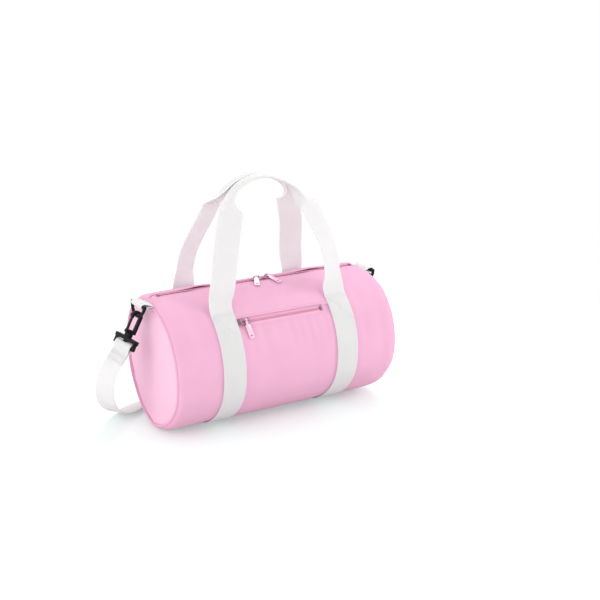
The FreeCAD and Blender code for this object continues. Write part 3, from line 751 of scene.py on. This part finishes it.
pull_lacquer = lacquered("pull_lacquer", (0.72, 0.40, 0.54), (0.92, 0.66, 0.78), 0.28)
slider_lacquer = lacquered("slider_lacquer", (0.22, 0.09, 0.15), (0.62, 0.36, 0.47), 0.3)
stop_lacquer = lacquered("stop_lacquer", (0.16, 0.06, 0.10), (0.36, 0.18, 0.26), 0.35)
zip_places = (
    ("_main_left", "main_%s_left", "_left"), ("_main_right", "main_%s_right", "_right"),
    ("_of_pocket", "pocket_%s", "_pocket"),
)
for kind, lacquer, rounding in (("slider", slider_lacquer, 0.35), ("pull", pull_lacquer, 0.3)):
    for name, node, body in zip_places:
        moulded(kind + name, node % kind, kind + body, kind + "_metal", lacquer, rounding)
for name in ("main", "pocket"):
    moulded("stops_" + name, name + "_zip_stops", "bag", "zip_stop", stop_lacquer, 0.35)

# Bands and carry handles
# One length of off-white polypropylene webbing runs under the barrel, up its front as two bands and over as
# a handle, and the same again at the back. It is sewn to the cloth up to each handle's foot. Above that the
# legs lean and turn a little about their own length, and the grip is folded double.
webbing_half = 17.5
webbing_thickness = 1.6
webbing_rise = 0.95
webbing_lowest = 0.8
webbing_gap = 2.6
foot_angle = 49.0
hinge_y = 59.58
hinge_z = 182.13
hinge_inset = 0.8
# Half of a handle from its foot to the middle of the grip: inwards, back and up.
handle_half = (
    (0.3, -0.6, 9.0), (2.0, -1.0, 25.0), (6.5, 1.6, 58.0), (18.0, 16.6, 98.0), (25.5, 24.4, 118.0),
    (33.5, 31.8, 138.0), (47.0, 38.2, 155.0), (68.0, 40.8, 167.0), (band_middle, 41.2, 172.5),
)
fold_start = 131.0
fold_end = 158.0
fold_turn = 87.0
fold_bend = 1.4
raise_span = (-12.0, 4.0)
leg_twist = 20.0
twist_span = (4.0, 34.0)
handle_lean = 5.0
lean_span = (10.0, 100.0)
upright_span = (138.0, 172.5)
seam_inset = 14.9
seam_top = -4.0
foot_patch = (-36.0, -3.0)
grip_seam = 10.5
grip_seam_lift = 1.9
# Places across the webbing and its thickness there, both as shares of the half, from the middle to an edge.
half_profile = ((0.0, 1.0), (0.06, 1.0), (0.14, 1.0), (0.3, 1.0), (0.5, 1.0), (0.7, 1.0), (0.85, 1.0),
                (0.94, 0.95), (0.985, 0.7), (1.0, 0.35))


def smooth_line(points, gap):
    """Evenly spaced places on a natural cubic spline through the points."""
    points = np.asarray(points, float)
    at = distances(points)
    n = len(at)
    width = np.diff(at)
    system = np.eye(n)
    for i in range(1, n - 1):
        system[i, i - 1:i + 2] = width[i - 1], 2.0 * (width[i - 1] + width[i]), width[i]
    right = np.zeros((n, 3))
    right[1:-1] = 6.0 * np.diff(np.diff(points, axis=0) / width[:, None], axis=0)
    bend = np.linalg.solve(system, right)
    t = np.linspace(0.0, at[-1], max(3, int(at[-1] / gap)))
    i = np.clip(np.searchsorted(at, t) - 1, 0, n - 2)
    low, high, w = (t - at[i])[:, None], (at[i + 1] - t)[:, None], width[i][:, None]
    line = (bend[i] * high**3 + bend[i + 1] * low**3) / (6.0 * w)
    line += (points[i] / w - bend[i] * w / 6.0) * high + (points[i + 1] / w - bend[i + 1] * w / 6.0) * low
    return line


def heading(line):
    return unit(np.gradient(line, axis=0))


def summed(reach, slope, part):
    """Way made across the webbing from its middle, where part is the cosine or the sine of its slope."""
    way = np.cumsum(np.diff(reach) * (part(slope[:, 1:]) + part(slope[:, :-1])) / 2, axis=1)
    way = np.concatenate([np.zeros_like(slope[:, :1]), way], axis=1)
    return way - way[:, len(reach) // 2, None]


def webbing_rows(line, inward, fold=0.0):
    """Outline of the webbing across each place of a line, folded lengthwise by an angle in degrees."""
    run = heading(line)
    inward = square_to(run, inward)
    across = np.cross(run, inward)
    profile = np.array(half_profile)
    reach = webbing_half * np.concatenate([-profile[:0:-1, 0], profile[:, 0]])
    thin = webbing_thickness / 2 * np.concatenate([profile[:0:-1, 1], profile[:, 1]])
    turn = np.radians(np.broadcast_to(fold, len(line)))[:, None]
    slope = turn * np.clip(reach / fold_bend, -1.0, 1.0)[None, :]
    sideways, deep = summed(reach, slope, np.cos), summed(reach, slope, np.sin)
    rows = []
    for face, order in ((-1.0, slice(None)), (1.0, slice(None, None, -1))):
        s = sideways - face * thin[None, :] * np.sin(slope)
        d = deep + face * thin[None, :] * np.cos(slope)
        place = line[:, None, :] + across[:, None, :] * s[:, :, None] + inward[:, None, :] * d[:, :, None]
        rows.append(place[:, order])
    points = np.concatenate(rows, axis=1)
    threads = gridded(np.concatenate([reach, reach[::-1]])[None, :], distances(line)[:, None])
    return points, threads, across, inward


def webbing_weave(name, dark, pale):
    """Heavy webbing: chevron ribs across narrow columns, and slightly uneven yarn."""
    cloth = {
        "Specular IOR Level": 0.3, "Sheen Weight": 0.1, "Subsurface Weight": 0.6,
        "Subsurface Radius": (1.0, 1.0, 1.0), "Subsurface Scale": 0.004,
    }
    material, wire, shader = finish(name, cloth)
    thread = wire.node("Attribute", attribute_name="thread").out("Vector")
    across = wire.node("SeparateXYZ", {0: thread})
    along = across.out("Y")
    chevron = (wire.math("PINGPONG", across, 3.2) * 1.1 + along) * (2.0 * math.pi / 1.9)
    column = (across * (2.0 * math.pi / 1.6)).sin()
    ribs = chevron.sin()
    cloud = wire.noise(34.0, 2.0)
    slub = wire.noise(0.9, 2.0, thread)
    tone = (0.55 + ribs * 0.2 + column * 0.08 + (cloud - 0.5) * 0.5 + (slub - 0.5) * 0.4).clamp()
    tone.mix(dark, pale).into(shader, "Base Color")
    (0.72 + ribs * 0.06 + slub * 0.12).into(shader, "Roughness")
    (ribs * 0.7 + column * 0.3 + slub * 0.5).bump(shader, 0.3, 0.00025)
    return material


white_webbing = webbing_weave("white_webbing", (0.68, 0.68, 0.675), (0.80, 0.80, 0.795))
white_thread = sewing_thread("white_thread", (0.70, 0.70, 0.69), (0.88, 0.88, 0.87))
seam_width = np.linspace(-seam_inset, seam_inset, 12)[:, None]
mirror = np.array([-1.0, 1.0, 1.0])


def webbing_piece(name, points, threads, *nodes):
    mesh = cloth_mesh(name, points, threads, ring=True, caps=True)
    return made(name, mesh, white_webbing, "webbing", *nodes)


def webbing_sewing(name, rows):
    return made(name, stitch_mesh(name, rows), white_thread, "webbing")


for name, front in (("front", 1.0), ("rear", -1.0)):
    rising = []
    for angle in np.concatenate([steps([-90.0, foot_angle - 4.0], 5.0), [foot_angle]]):
        radius = barrel_radius + webbing_rise - float(sag(angle))
        height = barrel_axis + radius * math.sin(math.radians(angle))
        rising.append((band_middle, -radius * math.cos(math.radians(angle)), max(height, webbing_lowest)))
    for inner, back, up in handle_half:
        rising.append((band_middle - inner, -hinge_y + hinge_inset + back, hinge_z + up))
    right = np.array(rising)
    left = right[:-1] * mirror
    line = smooth_line(np.concatenate([left, right[::-1]]), webbing_gap)
    over = line[:, 2] - hinge_z
    line[:, 0] += handle_lean * rise(over, *lean_span) * fall(over, *upright_span)
    to_axis = unit((np.array([0.0, 0.0, barrel_axis]) - line) * np.array([0.0, 1.0, 1.0]))
    raised = rise(over, *raise_span)[:, None]
    folded = rise(over, fold_start, fold_end)
    twist = -np.sign(line[:, 0]) * math.radians(leg_twist) * rise(over, *twist_span) * (1.0 - folded)
    facing = np.stack([np.sin(twist), np.cos(twist), np.zeros_like(twist)], axis=-1)
    fold = np.degrees(np.arccos(1.0 - (1.0 - math.cos(math.radians(fold_turn))) * folded))
    points, threads, across, inward = webbing_rows(line, to_axis * (1.0 - raised) + facing * raised, fold)
    flip = np.array([1.0, front, 1.0])
    line, points, across, inward = line * flip, points * flip, across * flip, inward * flip
    order = slice(None, None, int(front))
    webbing = webbing_piece("webbing_" + name, points[:, order], threads[:, order],
                            "handle_" + name, "band_left", "band_right")
    face = line - inward * webbing_thickness * 0.5
    rows = []
    for half in (line[:, 0] < 0, line[:, 0] >= 0):
        sewn = half & (over < seam_top)
        for offset in (-seam_inset, seam_inset):
            rows.append((face[sewn] + across[sewn] * offset, -inward[sewn]))
        foot = np.flatnonzero(half & (over > foot_patch[0]) & (over < foot_patch[1]))
        spread = np.linspace(-seam_inset, seam_inset, len(foot))[:, None]
        for slant in (spread, -spread):
            rows.append((face[foot] + across[foot] * slant, -inward[foot]))
        for end in (foot[0], foot[-1]):
            level = np.tile(-inward[end], (len(seam_width), 1))
            rows.append((face[end] + across[end] * seam_width, level))
    grip = fold > fold_turn - 1.0
    edge_in = line[grip] + inward[grip] * grip_seam
    for offset in (-grip_seam_lift, grip_seam_lift):
        rows.append((edge_in + across[grip] * offset, across[grip] * np.sign(offset)))
    sewing = webbing_sewing("webbing_stitches_" + name, rows)
    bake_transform(webbing)
    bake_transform(sewing)

# End tabs
# A short doubled piece of the same webbing at each end of the main zip, sewn down over the end of the tapes.
# Its fold holds the straight side of the D-ring.
tab_rows = (179.0, 181.6)
tab_gap = 1.1
tab_eye = (190.0, 191.0)
tab_fold_span = (181.0, 187.0)
tab_bow_span = (173.0, 187.0)
tab_stitch_lift = 0.9
tab_y = np.linspace(-seam_inset, seam_inset, 14)
tab_up = np.tile([0.0, 0.0, 1.0], (len(tab_y), 1))
# Middle of the right tab's thickness, from its upper end over the fold to its lower end: x and z.
tab_line = (
    (171.0, 190.6), (174.2, 190.9), (177.0, 191.6), (180.0, 192.6), (184.0, 193.8), (188.0, 194.5),
    (190.4, 194.45), (192.7, 193.2), (193.5, 190.7), (192.3, 188.3), (189.8, 187.5), (186.4, 188.3),
    (183.0, 189.2), (180.0, 189.8), (177.0, 189.9), (174.2, 189.25), (171.0, 188.9),
)


def tab_bow(x, y):
    """How far the tab bends down with the barrel to each side, less towards its fold."""
    return y**2 / (2.0 * barrel_radius) * fall(np.abs(x), *tab_bow_span)


for name, side in both_ends:
    line = smooth_line([(side * x, 0.0, z) for x, z in tab_line], tab_gap)
    to_eye = unit(np.array([side * tab_eye[0], 0.0, tab_eye[1]]) - line)
    flat_part = fall(np.abs(line[:, 0]), *tab_fold_span)[:, None]
    upper = np.arange(len(line)) < len(line) // 2
    down = np.where(upper, -1.0, 1.0)[:, None] * np.array([0.0, 0.0, 1.0])
    points, threads = webbing_rows(line, to_eye * (1.0 - flat_part) + down * flat_part)[:2]
    points[:, :, 2] -= tab_bow(points[:, :, 0], points[:, :, 1])
    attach(webbing_piece("tab_" + name, points, threads, "end_tab_" + name), "bag")
    rows = []
    for x in tab_rows:
        z = np.interp(x, *np.array(tab_line[:5]).T) + tab_stitch_lift
        rows.append((gridded(side * x, tab_y, z - tab_bow(x, tab_y)), tab_up))
    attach(webbing_sewing("tab_stitches_" + name, rows), "bag")

# D-rings and snap hooks
# Injection-moulded black acetal with a fine satin grain: a D-ring in each tab, a hook with a sprung gate,
# and a base that carries the strap's bar and turns on the hook's shank.


def acetal(name):
    material, wire, shader = finish(name, {"Specular IOR Level": 0.14})
    grain = wire.noise(1500.0, 2.0)
    flow = wire.noise(90.0, 3.0)
    # Slightly paler along the sharp outward edges.
    paler_edges = ((wire.node("NewGeometry").out("Pointiness") - 0.52) * 9.0).clamp()
    tone = (0.2 + (flow - 0.5) * 0.5 + paler_edges * 0.6).clamp()
    tone.mix((0.003, 0.003, 0.0035), (0.02, 0.02, 0.022)).into(shader, "Base Color")
    (0.30 + flow * 0.16 + grain * 0.06).into(shader, "Roughness")
    grain.bump(shader, 0.12, 0.0001)
    return material


black_acetal = acetal("black_acetal")
for side in ("left", "right"):
    for name, node, body, rounding in (
        ("ring_", "d_ring_", "ring_", 0.4), ("hook_", "hook_body_", "hook_", 1.2),
        ("gate_", "hook_gate_", "gate_", 0.5), ("hook_foot_", "hook_base_", "ring_", 1.5),
    ):
        moulded(name + side, node + side, body + side, "black_plastic", black_acetal, rounding)

# Shoulder strap
# The same webbing, looped and sewn round the bar of each hook's base. It hangs from the left hook, turns
# over on the floor, runs behind the bag through a slide adjuster and comes up to the right hook. Its return
# ply lies on it from the adjuster to the right hook.
adjuster_y = 92.0
near_from = 66.0
near_gap = 1.3
join_x = 130.0
double_from = 150.0
ply_gap = 1.9
loop_gap = 0.9
# Left half of the route: control points, each with the way across the strap. The right half mirrors it.
strap_half_route = (
    ((-223.3, -0.7, 124.1), (-0.21, 0.97, 0.11)),
    ((-233.3, -1.5, 112.0), (-0.21, 0.97, 0.11)),
    ((-242.6, 3.2, 90.0), (-0.29, 0.93, 0.24)),
    ((-239.8, 19.7, 53.5), (-0.52, 0.81, 0.27)),
    ((-223.0, 41.3, 25.1), (-0.70, 0.69, 0.19)),
    ((-194.8, 64.8, 5.6), (-0.55, 0.82, -0.13)),
    ((-166.5, 82.1, 5.0), (-0.39, 0.91, -0.16)),
    ((-130.0, 93.0, 0.9), (0.0, 1.0, 0.0)),
    ((-50.0, 92.0, 0.9), (0.0, 1.0, 0.0)),
)
# Way of the return ply through the adjuster: x and z.
threaded_line = (
    (33.6, 3.0), (35.0, 5.6), (37.2, 7.2), (40.0, 7.6), (42.8, 7.1), (45.0, 5.6), (47.2, 5.6), (49.0, 7.0),
    (51.4, 7.4), (54.5, 6.3), (58.5, 4.2),
)
# Sewn loop round the bar of the right hook's base: down the tail and out from it.
loop_line = (
    (15.5, 0.1), (10.0, 0.3), (5.5, 1.6), (2.0, 3.0), (-2.4, 3.1), (-5.0, 1.5), (-5.2, -1.2), (-2.8, -3.0),
    (1.6, -3.2), (5.0, -2.5), (9.0, -1.9), (16.0, -1.75), (27.0, -1.75),
)
hook_bar = np.array([214.121, 0.0, 135.173])
bar_way = np.array([0.2136, 0.9703, 0.1135])
tail_down = np.array([0.6373, -0.0503, -0.7689])
tail_out = np.cross(tail_down, bar_way)
box_span = (13.0, 24.5)
box_lift = 0.95


def spline_places(name, points):
    """Places along one NURBS spline that has the points for its control points."""
    curve = bpy.data.curves.new(name, "CURVE")
    curve.dimensions = "3D"
    spline = curve.splines.new("NURBS")
    spline.points.add(len(points) - 1)
    for point, place in zip(spline.points, points):
        point.co = (*place, 1.0)
    spline.order_u = 3
    spline.use_endpoint_u = True
    spline.resolution_u = 16
    holder = bpy.data.objects.new(name, curve)
    mesh = bpy.data.meshes.new_from_object(holder)
    places = np.array([v.co for v in mesh.vertices])
    bpy.data.objects.remove(holder)
    bpy.data.curves.remove(curve)
    bpy.data.meshes.remove(mesh)
    return places


half_route = [(np.array(p), np.array(w)) for p, w in strap_half_route]
route = half_route + [(p * mirror, w * mirror) for p, w in half_route[::-1]]
strap_line = spline_places("strap_route", [p for p, w in route])
strap_edge = spline_places("strap_edge", [p + webbing_half * w / np.linalg.norm(w) for p, w in route])
strap_run = heading(strap_line)
strap_up = np.cross(strap_run, square_to(strap_run, strap_edge - strap_line))


def strap_part(name, line, up, node):
    return webbing_piece(name, *webbing_rows(line, -up)[:2], node)


join = int(np.argmax(strap_line[:, 0] > join_x))
left_line, right_line = strap_line[:join + 1], strap_line[join:]
strap_left = strap_part("strap_left", left_line, strap_up[:join + 1], "shoulder_strap")
strap_right = strap_part("strap_right", right_line, strap_up[join:], "shoulder_strap")

double = strap_line + strap_up * ply_gap
near_first = int(np.argmax(strap_line[:, 0] > near_from))
far_first = int(np.argmax(strap_line[:, 0] > double_from))
threaded = np.array([(x, adjuster_y, z) for x, z in threaded_line])
near_points = np.concatenate([threaded, double[near_first:far_first:2], double[far_first:far_first + 1]])
near_line = smooth_line(near_points, near_gap)
on_floor = (strap_line[:, 0] > 0.0) & (strap_line[:, 0] < double_from + 10.0)
near_up = between(near_line[:, 0], strap_line[on_floor, 0], strap_up[on_floor])
strap_near = strap_part("strap_doubled_near", near_line, near_up, "strap_return")
strap_far = strap_part("strap_doubled_far", double[far_first:], strap_up[far_first:], "strap_return")

strap_ends = []
for name, side in both_ends:
    flip = np.array([side, 1.0, 1.0])
    loop_points = [(hook_bar + tail_down * down + tail_out * out) * flip for down, out in loop_line]
    line = smooth_line(loop_points, loop_gap)
    inner = np.cross(heading(line), bar_way * flip)
    loop = webbing_piece("strap_end_" + name, *webbing_rows(line, inner)[:2], "strap_loop_" + name)
    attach(loop, "ring_" + name)
    top = hook_bar + tail_out * box_lift
    box = [top + tail_down * down + bar_way * seam_width for down in box_span]
    box_side = np.linspace(*box_span, len(seam_width))[:, None]
    box += [top + tail_down * box_side + bar_way * y for y in (-seam_inset, seam_inset)]
    outward = np.tile(tail_out * flip, (len(seam_width), 1))
    sewing = webbing_sewing("strap_stitches_" + name, [(row * flip, outward) for row in box])
    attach(sewing, "ring_" + name)
    strap_ends += [loop, sewing]

adjuster = moulded("strap_slide", "strap_adjuster", "adjuster", "black_plastic", black_acetal, 0.8)
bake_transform(strap_left)
for ply in (strap_right, strap_far):
    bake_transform(ply)
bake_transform(strap_near)
for strap, line, far_end, others in (
    (strap_left, left_line, "fitting", [strap_ends[0], strap_ends[1], adjuster]),
    (strap_right, right_line, "object", [strap_ends[2], strap_ends[3], strap_near, strap_far]),
):
    line[0] * mm
    line * mm

# Floor, light and camera
# A white floor, painted a faint mint near the bag to cancel the pink light bounced into its shadow, under
# three soft boxes, from the left, the right and behind, and a pale sky.
# The camera looks from a little above and to the left, as in the photograph.
floor_half = 6000.0


def seen_directly(wire):
    """1 for what the camera sees, straight or mirrored, and 0 for light on its way to the object."""
    ray = wire.node("LightPath")
    return (ray.out("Is Camera Ray") + ray.out("Is Glossy Ray") + ray.out("Is Transmission Ray")).clamp()


def floor_paint(name):
    material, wire, shader = finish(name)
    tree = material.node_tree
    tree.nodes.remove(shader)
    matt = wire.node("BsdfDiffuse", {"Color": (0.86, 0.86, 0.86, 1.0)})
    # Painted light: near the bag, for the camera, the floor's colour and glow are a faint mint, which
    # cancels the pink light the bag bounces into its shadow. Far off it shows blank white.
    pale = wire.node("BsdfDiffuse", {"Color": (0.71, 0.77, 0.75, 1.0)})
    glow = wire.node("Emission", {"Color": (0.29, 0.32, 0.31, 1.0), "Strength": 1.0})
    lit = wire.node("AddShader", {0: pale, 1: glow})
    blank = wire.node("Emission", {"Color": (1.0, 1.0, 1.0, 1.0), "Strength": 1.0})
    place = wire.node("NewGeometry").out("Position")
    away = wire.node("VectorMath", {0: place}, operation="LENGTH").out("Value")
    span = {"Value": away, "From Min": 0.42, "From Max": 0.9}
    far_off = wire.node("MapRange", span, interpolation_type="SMOOTHSTEP")
    shown = wire.node("MixShader", {0: far_off, 1: lit, 2: blank})
    whole = wire.node("MixShader", {0: seen_directly(wire), 1: matt, 2: shown})
    whole.into(tree.nodes["Material Output"], "Surface")
    return material


corners = [(x * floor_half, y * floor_half, 0.0) for x, y in ((-1, -1), (1, -1), (1, 1), (-1, 1))]
floor = placed("floor", meshed("floor", corners, [(0, 1, 2, 3)]))
floor.data.materials.append(floor_paint("white_sweep"))

sky = bpy.data.worlds.new("studio")
bpy.context.scene.world = sky
sky.use_nodes = True
sky_tone = seen_directly(Wire(sky.node_tree)).mix((0.78, 0.78, 0.78), (1.0, 1.0, 1.0))
sky_tone.into(sky.node_tree.nodes["Background"], "Color")


def aimed(name, data, place, target):
    """Lamp or camera at a place, turned to its target."""
    holder = placed(name, data)
    holder.location = place
    holder.rotation_euler = (Vector(target) - Vector(place)).to_track_quat("-Z", "Y").to_euler()
    return holder


def soft_box(name, place, target, size, power):
    lamp = bpy.data.lights.new(name, "AREA")
    lamp.shape = "RECTANGLE"
    lamp.size, lamp.size_y = size
    lamp.energy = power
    aimed(name, lamp, place, target)


soft_box("back", (0.6, 0.8, 1.5), (0.0, 0.0, 0.1), (1.4, 1.0), 11.0)
soft_box("left", (-1.95, -0.6, 0.7), (-0.1, 0.0, 0.14), (3.2, 2.2), 25.5)
soft_box("right", (1.9, -1.1, 1.0), (0.05, 0.0, 0.14), (1.4, 1.2), 19.0)

camera_data = bpy.data.cameras.new("camera")
camera_data.sensor_fit = "HORIZONTAL"
camera_data.sensor_width = 36.0
camera_data.lens = 67.75
camera_data.clip_end = 50.0
camera_place = (-0.7684, -1.4031, 0.6557)
camera_target = (0.0720, 0.0, 0.1560)
bpy.context.scene.camera = aimed("camera", camera_data, camera_place, camera_target)
bpy.context.scene.view_settings.view_transform = "Standard"
